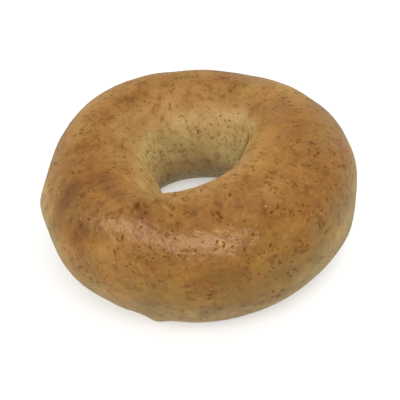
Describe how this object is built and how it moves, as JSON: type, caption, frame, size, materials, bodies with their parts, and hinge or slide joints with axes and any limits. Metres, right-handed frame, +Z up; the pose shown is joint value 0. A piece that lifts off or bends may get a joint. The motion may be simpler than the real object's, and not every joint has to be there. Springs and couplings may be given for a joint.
{
  "type": "bagel",
  "caption": "Plain bagel: a hand-rolled ring of bread with a glossy golden-brown crust flecked with bran, a paler hole wall and a flat baked base.",
  "frame": {"origin": "middle of the bagel's box seen from above, at the level it rests on", "axes": "+Z up through the hole; +Y along the ring's longest way across, +X across it"},
  "size_m": [0.1052, 0.1104, 0.0439],
  "materials": {
    "crust": "satin baked bread crust, golden brown on top and paler in the hole and round the base, with fine dark bran flecks"
  },
  "bodies": {
    "root": {"bagel": "crust"}
  },
  "joints": []
}
